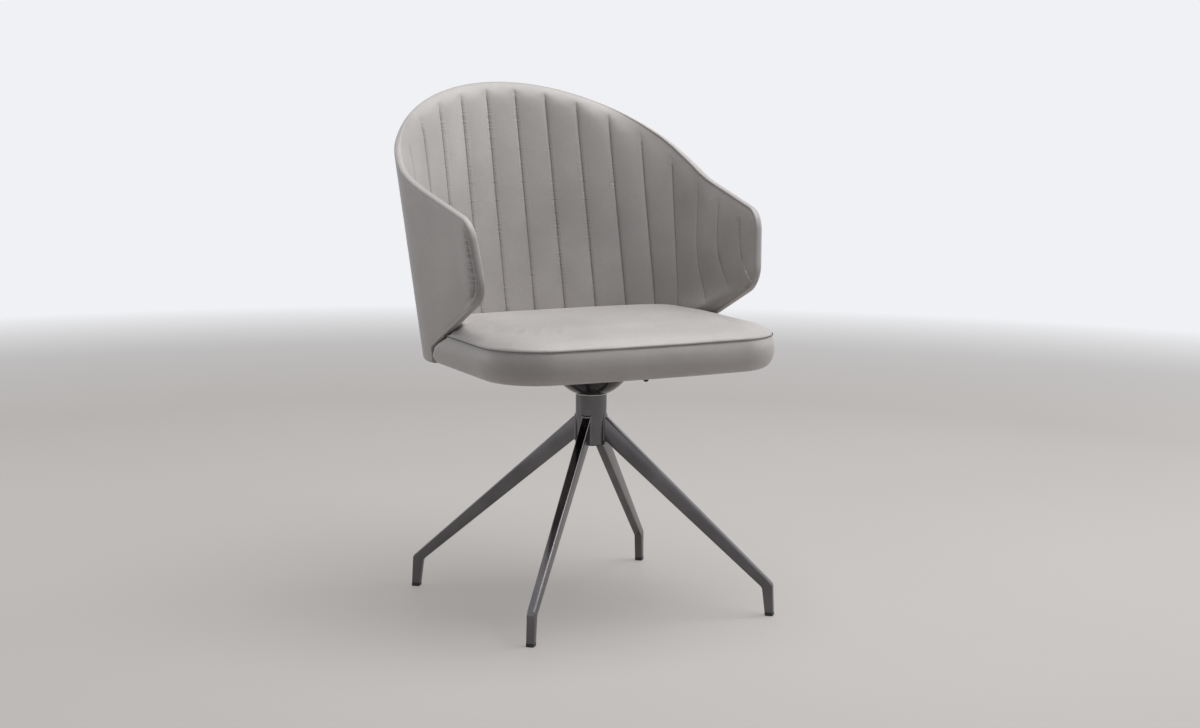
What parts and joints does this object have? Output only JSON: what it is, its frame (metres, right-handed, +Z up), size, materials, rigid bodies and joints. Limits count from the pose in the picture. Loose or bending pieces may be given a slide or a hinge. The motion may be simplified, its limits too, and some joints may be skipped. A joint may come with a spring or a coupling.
{
  "type": "swivel chair",
  "caption": "Upholstered swivel armchair: a wrap-around back sewn into upright channels and a crowned seat, turning on a splayed metal pedestal.",
  "frame": {"origin": "on the floor, under the middle of the chair's outline", "axes": "+Z up, -Y to the front of the chair, +X to the right as seen from the front"},
  "size_m": [0.5448, 0.5785, 0.8271],
  "materials": {
    "dark_nickel": "polished dark nickel plate",
    "gloss_black": "glossy moulded black",
    "black_plastic": "satin moulded black",
    "bush_plastic": "natural nylon",
    "plain_steel": "zinc-plated steel",
    "black_steel": "black powder coat",
    "leatherette": "fine-grained leatherette, soft sheen",
    "plywood": "moulded birch plywood, unfinished",
    "foam": "open-cell foam",
    "lining": "thin black non-woven lining"
  },
  "bodies": {
    "base": {"hub_tube": "dark_nickel", "hub_cap": "black_plastic", "lower_bush": "bush_plastic", "upper_bush": "bush_plastic", "thrust_washer": "bush_plastic", "leg_front_left": "dark_nickel", "leg_front_right": "dark_nickel", "leg_back_left": "dark_nickel", "leg_back_right": "dark_nickel", "leg_welds": "dark_nickel", "glide_front_left": "black_plastic", "glide_front_right": "black_plastic", "glide_back_left": "black_plastic", "glide_back_right": "black_plastic"},
    "seat": {"swivel_cover": "gloss_black", "vent_button": "black_plastic", "spindle": "plain_steel", "stop_washer": "plain_steel", "circlip": "plain_steel", "plate_bolts": "plain_steel", "tee_nuts": "plain_steel", "back_screws": "plain_steel", "swivel_plate": "black_steel", "spindle_ribs": "black_steel", "back_cover": "leatherette", "back_pad": "leatherette", "seat_band": "leatherette", "seat_top": "leatherette", "back_shell": "plywood", "seat_board": "plywood", "seat_core": "foam", "dust_cover": "lining"}
  },
  "joints": [
    {"name": "seat_swivel", "type": "hinge", "parent": "base", "child": "seat", "pos_m": [0, -0.06829, 0.34], "axis": [0, 0, 1], "continuous": true}
  ]
}
